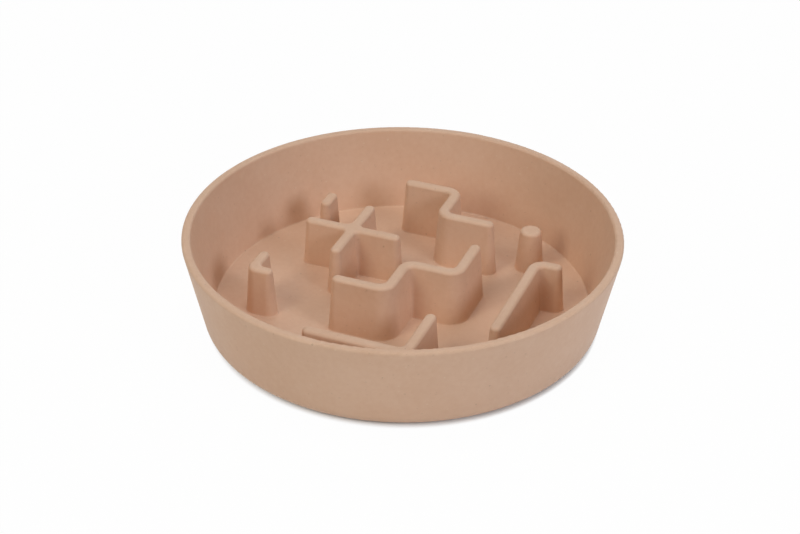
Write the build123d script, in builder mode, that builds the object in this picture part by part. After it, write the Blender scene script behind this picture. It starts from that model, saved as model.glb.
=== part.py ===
# Slow feeder bowl: a round moulded bowl with a maze of upright ridges on its floor, standing on
# a soft non-slip ring let into its underside.
# Millimetres. The origin is the centre of the ground under the bowl, +Z is up, and X and Y run
# along the maze.
import os
from math import cos, radians, tan

from build123d import *

# Bowl
rim_diameter = 200.0
bowl_height = 44.0  # underside to rim
outer_wall_angle = 12.0  # degrees, how far the wall leans out
inner_wall_angle = 13.3  # degrees, more than outside, so the wall thickens towards the floor
wall_thickness = 4.2  # at the rim, measured level
floor_thickness = 5.2
rim_edge_radius = 1.2
heel_radius = 7.0  # outer edge of the base
floor_corner_radius = 0.8  # where the wall meets the floor inside
underside_recess = 1.4  # height of the hollow inside the ring
recess_land = 6.0  # flat left between the ring's groove and the hollow

# Non-slip ring
ring_inset = 14.0  # from the edge of the base to the ring's outer edge
ring_width = 8.0
ring_thickness = 2.6
ring_proud = 0.6  # how far the ring stands out below the underside
ring_edge_radius = 0.4
ring_clearance = 0.1  # each side of the ring in its groove

# Ridges
ridge_top_width = 5.0
ridge_draft = 4.2  # degrees, on every side of a ridge
ridge_top_radius = 1.6
ridge_bend_radius = 5.0  # of a bend's centre line
hook_bend_radius = 2.4  # of the left hook's tighter bend
ridge_inner_radius = 1.2  # inside corner of a bend, at the floor
ridge_flare_radius = 0.8  # soft foot where a ridge grows out of the floor
flare_cut_share = 0.15  # share of the flare's height that lies under the floor's face
zigzag_height = 26.8  # heights above the floor
low_ridge_height = 23.2
peg_height = 20.8
peg_top_diameter = 9.9
peg_draft = 5.0  # degrees

# Places on the floor, as shares of the floor's radius
centre_zigzag_shares = ((-0.213, -0.367), (0.059, -0.367), (0.059, -0.092), (0.339, -0.092), (0.339, 0.184))
back_zigzag_shares = ((-0.228, 0.712), (0.05, 0.712), (0.05, 0.446), (0.323, 0.446))
right_corner_shares = ((0.668, -0.429), (0.668, 0.227), (0.779, 0.227))
front_corner_shares = ((-0.187, -0.801), (0.335, -0.801), (0.335, -0.467))
left_hook_shares = ((-0.694, -0.241), (-0.694, -0.381), (-0.609, -0.381))
back_stub_shares = ((-0.612, 0.396), (-0.612, 0.472))
cross_centre_shares = (-0.363, 0.187)
cross_arm_shares = (0.243, 0.233)  # along X and along Y, from the cross's centre
peg_shares = (0.526, 0.572)

# Levels and radii that follow from these
underside = ring_proud
floor_top = underside + floor_thickness
rim_top = underside + bowl_height
wall_lean = tan(radians(outer_wall_angle))
rounding_loss = rim_edge_radius * (wall_lean + 1 / cos(radians(outer_wall_angle)) - 1)
rim_radius = rim_diameter / 2 + rounding_loss  # before its edge is rounded
base_radius = rim_radius - wall_lean * bowl_height  # before its edge is rounded
inner_rim_radius = rim_radius - wall_thickness  # before its edge is rounded
floor_radius = inner_rim_radius - tan(radians(inner_wall_angle)) * (rim_top - floor_top)
ring_outer_radius = base_radius - ring_inset
ring_inner_radius = ring_outer_radius - ring_width
groove_top = ring_thickness
groove_outer_radius = ring_outer_radius + ring_clearance
groove_inner_radius = ring_inner_radius - ring_clearance
recess_radius = groove_inner_radius - recess_land
flare_cut = flare_cut_share * ridge_flare_radius
ridge_seat = floor_top - flare_cut

os.makedirs("parts", exist_ok=True)


def on_floor(shares):
    """A place on the floor from its shares of the floor's radius."""
    return Vector(shares[0] * floor_radius, shares[1] * floor_radius)


def widening(height, angle):
    """How much wider a ridge is on each side at its seat than at its top."""
    return (height + flare_cut) * tan(radians(angle))


def ridge_outline(line, half_width, bend_radius):
    """Corners and their radii around a line of right-angled bends, half_width out on each side."""
    runs = [(end - start).normalized() for start, end in zip(line[:-1], line[1:])]
    lefts = [run.rotate(Axis.Z, 90) for run in runs]
    outer_radius = bend_radius + half_width
    left_side = [(line[0] + lefts[0] * half_width, 0)]
    right_side = [(line[0] - lefts[0] * half_width, 0)]
    for point, before, after, run in zip(line[1:-1], lefts[:-1], lefts[1:], runs[1:]):
        turns_left = before.dot(run) > 0
        left_radius = ridge_inner_radius if turns_left else outer_radius
        right_radius = outer_radius if turns_left else ridge_inner_radius
        left_side.append((point + (before + after) * half_width, left_radius))
        right_side.append((point - (before + after) * half_width, right_radius))
    left_side.append((line[-1] + lefts[-1] * half_width, 0))
    right_side.append((line[-1] - lefts[-1] * half_width, 0))
    return left_side + right_side[::-1]


def raise_ridge(foot, height, angle, label):
    """Raise a ridge from the outline of its foot, soften its top and flare it into the floor."""
    with BuildPart() as ridge:
        extrude(foot.sketch, amount=height + flare_cut)
        draft(ridge.faces().filter_by(Axis.Z, reverse=True), Plane.XY.offset(ridge_seat), angle)
        fillet(ridge.faces().sort_by(Axis.Z)[-1].edges(), radius=ridge_top_radius)
        with BuildSketch(Plane.XY.offset(ridge_seat)):
            Circle(floor_radius)
        extrude(amount=-floor_thickness)
        ground = ridge.faces().filter_by(Axis.Z).sort_by(Axis.Z)[1]
        fillet(ground.inner_wires()[0].edges(), radius=ridge_flare_radius)
        split(bisect_by=Plane.XY.offset(floor_top), keep=Keep.TOP)
    ridge.part.label = label
    export_step(ridge.part, f"parts/{label}.step")


def bent_ridge(shares, height, bend_radius, label):
    """A ridge along a line of right-angled bends, with round ends."""
    line = [on_floor(share) for share in shares]
    half_width = ridge_top_width / 2 + widening(height, ridge_draft)
    outline = ridge_outline(line, half_width, bend_radius)
    corners = [corner for corner, _ in outline]
    radii = [radius for _, radius in outline]
    with BuildSketch(Plane.XY.offset(ridge_seat)) as foot:
        with BuildLine():
            FilletPolyline(*corners, radius=radii, close=True)
        make_face()
        with Locations(line[0], line[-1]):
            Circle(half_width)
    raise_ridge(foot, height, ridge_draft, label)


# Shell: wall, rim, floor, heel, and the underside with the ring's groove and the hollow inside it
with BuildPart() as bowl_shell:
    with BuildSketch(Plane.XZ) as section:
        with BuildLine():
            Polyline(
                (0, floor_top),
                (floor_radius, floor_top),
                (inner_rim_radius, rim_top),
                (rim_radius, rim_top),
                (base_radius, underside),
                (groove_outer_radius, underside),
                (groove_outer_radius, groove_top),
                (groove_inner_radius, groove_top),
                (groove_inner_radius, underside),
                (recess_radius, underside),
                (recess_radius - underside_recess, underside + underside_recess),
                (0, underside + underside_recess),
                close=True,
            )
        make_face()
        rim_corners = section.vertices().group_by(Axis.Y)[-1]
        fillet(rim_corners, radius=rim_edge_radius)
        heel = section.vertices().group_by(Axis.Y)[0].sort_by(Axis.X)[-1]
        fillet(heel, radius=heel_radius)
        floor_corner = section.vertices().sort_by_distance((floor_radius, floor_top))[0]
        fillet(floor_corner, radius=floor_corner_radius)
    revolve(axis=Axis.Z)
bowl_shell.part.label = "bowl_shell"
export_step(bowl_shell.part, "parts/bowl_shell.step")

# Ridges with bends, and the short straight one
bent_ridge(centre_zigzag_shares, zigzag_height, ridge_bend_radius, "centre_zigzag")
bent_ridge(back_zigzag_shares, zigzag_height, ridge_bend_radius, "back_zigzag")
bent_ridge(right_corner_shares, low_ridge_height, ridge_bend_radius, "right_corner")
bent_ridge(front_corner_shares, low_ridge_height, ridge_bend_radius, "front_corner")
bent_ridge(left_hook_shares, low_ridge_height, hook_bend_radius, "left_hook")
bent_ridge(back_stub_shares, low_ridge_height, ridge_bend_radius, "back_stub")

# Cross: two straight ridges through one centre
cross_half_width = ridge_top_width / 2 + widening(low_ridge_height, ridge_draft)
cross_centre = on_floor(cross_centre_shares)
cross_arms = on_floor(cross_arm_shares)
with BuildSketch(Plane.XY.offset(ridge_seat)) as cross_foot:
    with Locations(cross_centre):
        SlotCenterToCenter(cross_arms.X * 2, cross_half_width * 2)
        SlotCenterToCenter(cross_arms.Y * 2, cross_half_width * 2, rotation=90)
    inner_corners = cross_foot.vertices().sort_by_distance(cross_centre + Vector(0, 0, ridge_seat))[:4]
    fillet(inner_corners, radius=ridge_inner_radius)
raise_ridge(cross_foot, low_ridge_height, ridge_draft, "cross_ridge")

# Peg
with BuildSketch(Plane.XY.offset(ridge_seat)) as peg_foot:
    with Locations(on_floor(peg_shares)):
        Circle(peg_top_diameter / 2 + widening(peg_height, peg_draft))
raise_ridge(peg_foot, peg_height, peg_draft, "round_peg")

# Ring, seated against the top of its groove
with BuildPart() as non_slip_ring:
    with BuildSketch() as ring_face:
        Circle(ring_outer_radius)
        Circle(ring_inner_radius, mode=Mode.SUBTRACT)
    extrude(amount=ring_thickness)
    fillet(non_slip_ring.faces().sort_by(Axis.Z)[0].edges(), radius=ring_edge_radius)
non_slip_ring.part.label = "non_slip_ring"
export_step(non_slip_ring.part, "parts/non_slip_ring.step")
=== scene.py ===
from math import pi, radians

import bpy
from mathutils import Euler, Matrix, Vector

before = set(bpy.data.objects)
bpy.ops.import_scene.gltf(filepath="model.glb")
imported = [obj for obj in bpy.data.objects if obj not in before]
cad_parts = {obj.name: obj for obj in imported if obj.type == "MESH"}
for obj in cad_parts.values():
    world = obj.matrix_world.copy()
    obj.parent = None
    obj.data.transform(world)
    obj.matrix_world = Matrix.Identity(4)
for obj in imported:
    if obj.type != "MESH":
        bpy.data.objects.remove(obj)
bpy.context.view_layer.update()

MM = 0.001

# Camera, at the photograph's angle
CAMERA_PLACE = (247.85 * MM, -636.63 * MM, 450.52 * MM)
CAMERA_AZIMUTH = radians(21.367)
CAMERA_PITCH = radians(31.996)
CAMERA_ROLL = radians(0.495)
CAMERA_LENS = 78.8  # millimetres
CAMERA_SENSOR = 36.0  # millimetres wide

# Light
AMBIENT = 0.125  # even light on the object from all round
BACKDROP = 1.0  # plain white where the world is seen
LIGHT_DISTANCE = 1.5
NEUTRAL = (1.0, 1.0, 1.0)
WARM = (1.0, 0.962, 0.846)
COOL = (0.889, 0.926, 1.0)
# name, degrees round from the camera's right, degrees up, width and height in metres, watts, colour
LIGHTS = (
    ("left_softbox", 223, 39, 0.55, 1.0, 6.8, WARM),
    ("right_softbox", 318, 28, 0.45, 0.45, 6.8, COOL),
    ("top_softbox", 0, 90, 0.6, 0.6, 5.1, NEUTRAL),
    ("back_fill", 80, 45, 0.9, 0.9, 2.3, NEUTRAL),
)

# Floor
FLOOR_SIZE = 6.0
FLOOR_COLOUR = (0.86, 0.86, 0.86, 1)
FLOOR_LIFT = 0.98  # share of plain white where the floor is seen
# Painted contact shadow: where the object closes the floor's view, the white is withheld and the paper's
# own shading shows
PAINTED_SHADOW_REACH = 2.9 * MM  # how far the painted contact shadow keeps that white away
PAINTED_SHADOW_LEAN = radians(33)  # how far off straight up the floor looks for the bowl, for the painted shadow
PAINTED_SHADOW_SIDE = radians(192)  # where it leans, round from the camera's right; the painted shadow is wider opposite
PAINTED_SHADOW_SPAN = (0.3, 0.9)  # open share of what the floor looks at, where the white starts and is full

# Moulding: linear colours
BASE_COLOUR = (0.743, 0.496, 0.351, 1)
WARM_COLOUR = (0.726, 0.474, 0.329, 1)
PALE_COLOUR = (0.762, 0.520, 0.375, 1)
DARK_SPECK = (0.26, 0.145, 0.085, 1)
PALE_SPECK = (0.80, 0.62, 0.48, 1)

# Moulding: noises, each a scale per metre and a detail
BROAD_NOISE = (38.0, 3.0)
MIDDLE_NOISE = (380.0, 2.0)
GRAIN_NOISE = (700.0, 3.0)
WOBBLE_NOISE = (900.0, 1.0)
FINE_BUMP_NOISE = (1500.0, 2.0)
SLOW_BUMP_NOISE = (160.0, 2.0)

# Moulding: how its pattern is put together
BROAD_SHARE = 0.55  # of the mottle, the rest being the middle noise
MOTTLE_SPAN = (0.38, 0.62)
GRAIN_SPAN = (0.3, 0.7)
GRAIN_STRENGTH = 0.35
WOBBLE_SHIFT = 0.7 * MM  # most that it bends the specks' outlines by
# cells per metre, share of cells left bare, largest speck and soft edge in cells, strength, colour
SPECKS = (
    (290.0, 0.55, 0.2, 0.08, 0.4, PALE_SPECK),
    (520.0, 0.5, 0.16, 0.06, 0.16, DARK_SPECK),
    (330.0, 0.45, 0.22, 0.09, 0.13, DARK_SPECK),
    (210.0, 0.66, 0.13, 0.06, 0.3, DARK_SPECK),
)

# Moulding: surface
MOULDING_ROUGHNESS = (0.44, 0.56)
MOULDING_SPECULAR = 0.22
SLOW_BUMP_WEIGHT = 1.5  # against the fine bump
MOULDING_BUMP_STRENGTH = 0.35
MOULDING_BUMP_DEPTH = 0.08 * MM

# Ring: linear colours, noises as above, and surface
RING_DARK = (0.20, 0.155, 0.125, 1)
RING_PALE = (0.25, 0.20, 0.165, 1)
RING_GRAIN_NOISE = (450.0, 4.0)
RING_BUMP_NOISE = (2200.0, 2.0)
RING_ROUGHNESS = (0.7, 0.85)
RING_SPECULAR = 0.3
RING_BUMP_STRENGTH = 0.4
RING_BUMP_DEPTH = 0.08 * MM

# Numbers of a Mix node's colour sockets, which share their names with its other sockets
MIX_FIRST = 6
MIX_SECOND = 7
MIX_RESULT = 2


class Nodes:
    """A node tree, emptied, whose nodes are added and joined in short calls."""

    def __init__(self, tree):
        self.tree = tree
        self.tree.nodes.clear()

    def add(self, kind, inputs=None, **settings):
        """A node of this kind. An input's value is a constant, or another node's output socket."""
        node = self.tree.nodes.new(kind)
        for name, value in settings.items():
            setattr(node, name, value)
        for name, value in (inputs or {}).items():
            if isinstance(value, bpy.types.NodeSocket):
                self.tree.links.new(value, node.inputs[name])
            else:
                node.inputs[name].default_value = value
        return node

    def math(self, operation, first, second, clamp=False):
        """The output of a Math node."""
        inputs = {0: first, 1: second}
        return self.add("ShaderNodeMath", inputs, operation=operation, use_clamp=clamp).outputs[0]

    def vector_math(self, operation, first, second):
        """The output of a Vector Math node."""
        return self.add("ShaderNodeVectorMath", {0: first, 1: second}, operation=operation).outputs[0]

    def mix(self, share, first, second):
        """The output of a colour Mix node."""
        inputs = {"Factor": share, MIX_FIRST: first, MIX_SECOND: second}
        return self.add("ShaderNodeMix", inputs, data_type="RGBA").outputs[MIX_RESULT]

    def spread(self, value, span, low=0.0, high=1.0):
        """The output of a Map Range node, which spreads a span of the value from low to high."""
        start, end = span
        inputs = {"Value": value, "From Min": start, "From Max": end, "To Min": low, "To Max": high}
        return self.add("ShaderNodeMapRange", inputs).outputs[0]

    def noise(self, place, kind, output=0):
        """An output of a Noise node: its value from 0 to 1, or its colour."""
        scale, detail = kind
        inputs = {"Vector": place, "Scale": scale, "Detail": detail}
        return self.add("ShaderNodeTexNoise", inputs).outputs[output]

    def specks(self, place, scale, bare, size, softness):
        """A mask of round specks: one in some of the cells, each of its own size."""
        cells = self.add("ShaderNodeTexVoronoi", {"Vector": place, "Scale": scale})
        chance = self.add("ShaderNodeSeparateColor", {"Color": cells.outputs["Color"]}).outputs[0]
        above = self.math("SUBTRACT", chance, bare)
        radius = self.math("MULTIPLY", above, size / (1 - bare))
        inside = self.math("SUBTRACT", radius, cells.outputs["Distance"])
        return self.math("DIVIDE", inside, softness, clamp=True)

    def bump(self, strength, depth, height):
        """The normal from a Bump node."""
        inputs = {"Strength": strength, "Distance": depth, "Height": height}
        return self.add("ShaderNodeBump", inputs).outputs[0]


def new_material(name):
    """A material, and its nodes, still empty."""
    material = bpy.data.materials.new(name)
    material.use_nodes = True
    return material, Nodes(material.node_tree)


def finish_material(t, inputs):
    """Ends a material's nodes with a Principled shader that has these inputs."""
    shader = t.add("ShaderNodeBsdfPrincipled", inputs)
    t.add("ShaderNodeOutputMaterial", {"Surface": shader.outputs[0]})


def moulding_material():
    """Matte fibre plastic: a soft mottle, a fine grain, and dark and pale specks."""
    material, t = new_material("fibre_plastic")
    place = t.add("ShaderNodeTexCoord").outputs["Object"]
    broad = t.math("MULTIPLY", t.noise(place, BROAD_NOISE), BROAD_SHARE)
    middle = t.math("MULTIPLY", t.noise(place, MIDDLE_NOISE), 1 - BROAD_SHARE)
    mottle_share = t.spread(t.math("ADD", broad, middle), MOTTLE_SPAN)
    mottled = t.mix(mottle_share, WARM_COLOUR, PALE_COLOUR)
    grain = t.noise(place, GRAIN_NOISE)
    grain_share = t.math("MULTIPLY", t.spread(grain, GRAIN_SPAN), GRAIN_STRENGTH)
    colour = t.mix(grain_share, mottled, BASE_COLOUR)

    wobble = t.noise(place, WOBBLE_NOISE, "Color")
    shift = t.vector_math("MULTIPLY", wobble, (WOBBLE_SHIFT,) * 3)
    bent = t.vector_math("ADD", place, shift)
    for scale, bare, size, softness, strength, speck_colour in SPECKS:
        mask = t.specks(bent, scale, bare, size, softness)
        colour = t.mix(t.math("MULTIPLY", mask, strength), colour, speck_colour)

    slow = t.math("MULTIPLY", t.noise(place, SLOW_BUMP_NOISE), SLOW_BUMP_WEIGHT)
    height = t.math("ADD", t.noise(place, FINE_BUMP_NOISE), slow)
    inputs = {
        "Base Color": colour,
        "Roughness": t.spread(grain, GRAIN_SPAN, *MOULDING_ROUGHNESS),
        "Normal": t.bump(MOULDING_BUMP_STRENGTH, MOULDING_BUMP_DEPTH, height),
        "Specular IOR Level": MOULDING_SPECULAR,
    }
    finish_material(t, inputs)
    return material


def ring_material():
    """Soft rubber with a fine, slightly uneven grain."""
    material, t = new_material("soft_rubber")
    place = t.add("ShaderNodeTexCoord").outputs["Object"]
    grain = t.noise(place, RING_GRAIN_NOISE)
    height = t.noise(place, RING_BUMP_NOISE)
    inputs = {
        "Base Color": t.mix(grain, RING_DARK, RING_PALE),
        "Roughness": t.spread(grain, GRAIN_SPAN, *RING_ROUGHNESS),
        "Normal": t.bump(RING_BUMP_STRENGTH, RING_BUMP_DEPTH, height),
        "Specular IOR Level": RING_SPECULAR,
    }
    finish_material(t, inputs)
    return material


def seen_directly(t):
    """1 for what the camera sees, straight or by a reflection, and 0 for light on the object."""
    path = t.add("ShaderNodeLightPath")
    seen = t.math("ADD", path.outputs["Is Camera Ray"], path.outputs["Is Glossy Ray"])
    return t.math("ADD", seen, path.outputs["Is Transmission Ray"], clamp=True)


def floor_material():
    """White paper, lifted to white where it is seen, except in a painted contact shadow round the object,
    where the paper's own shading shows.
    """
    material, t = new_material("white_paper")
    paper = t.add("ShaderNodeBsdfDiffuse", {"Color": FLOOR_COLOUR}).outputs[0]
    white = t.add("ShaderNodeEmission").outputs[0]
    lean = Vector((0, 0, 1))
    lean.rotate(Euler((0, PAINTED_SHADOW_LEAN, PAINTED_SHADOW_SIDE + CAMERA_AZIMUTH)))
    facing = t.add("ShaderNodeCombineXYZ", {"X": lean.x, "Y": lean.y, "Z": lean.z}).outputs[0]
    inputs = {"Distance": PAINTED_SHADOW_REACH, "Normal": facing}
    open_share = t.add("ShaderNodeAmbientOcclusion", inputs).outputs["AO"]
    # painted shadow: less white where the object is near, so the paper's own, partly shadowed shade shows
    # there
    clear = t.spread(open_share, PAINTED_SHADOW_SPAN, high=FLOOR_LIFT)
    lift = t.math("MULTIPLY", seen_directly(t), clear)
    both = t.add("ShaderNodeMixShader", {0: lift, 1: paper, 2: white}).outputs[0]
    t.add("ShaderNodeOutputMaterial", {"Surface": both})
    return material


def dress(node, material):
    """Gives a CAD node this material in all its slots."""
    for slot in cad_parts[node].material_slots:
        slot.material = material


moulding = moulding_material()
rubber = ring_material()
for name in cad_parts:
    dress(name, rubber if name == "non_slip_ring" else moulding)

# Floor
bpy.ops.mesh.primitive_plane_add(size=FLOOR_SIZE, location=(0, 0, 0))
floor = bpy.context.object
floor.name = "floor"
floor.data.materials.append(floor_material())

# World: even white light, and white where it is seen
world = bpy.data.worlds.new("studio")
bpy.context.scene.world = world
world.use_nodes = True
sky = Nodes(world.node_tree)
level = sky.spread(seen_directly(sky), (0, 1), AMBIENT, BACKDROP)
backdrop = sky.add("ShaderNodeBackground", {"Color": (1, 1, 1, 1), "Strength": level})
sky.add("ShaderNodeOutputWorld", {"Surface": backdrop.outputs[0]})

# Soft lights, all aimed at the bowl
for name, around, up, width, height, power, colour in LIGHTS:
    light_data = bpy.data.lights.new(name, "AREA")
    light_data.shape = "RECTANGLE"
    light_data.size = width
    light_data.size_y = height
    light_data.energy = power
    light_data.color = colour
    light = bpy.data.objects.new(name, light_data)
    towards = Vector((LIGHT_DISTANCE, 0, 0))
    towards.rotate(Euler((0, -radians(up), radians(around) + CAMERA_AZIMUTH)))
    light.location = towards
    light.rotation_euler = (-towards).to_track_quat("-Z", "Y").to_euler()
    bpy.context.scene.collection.objects.link(light)

# Camera
camera_data = bpy.data.cameras.new("camera")
camera_data.sensor_width = CAMERA_SENSOR
camera_data.lens = CAMERA_LENS
camera = bpy.data.objects.new("camera", camera_data)
camera.matrix_world = (
    Matrix.Translation(CAMERA_PLACE)
    @ Matrix.Rotation(CAMERA_AZIMUTH, 4, "Z")
    @ Matrix.Rotation(pi / 2 - CAMERA_PITCH, 4, "X")
    @ Matrix.Rotation(CAMERA_ROLL, 4, "Z")
)
bpy.context.scene.collection.objects.link(camera)
bpy.context.scene.camera = camera
bpy.context.scene.view_settings.view_transform = "Standard"
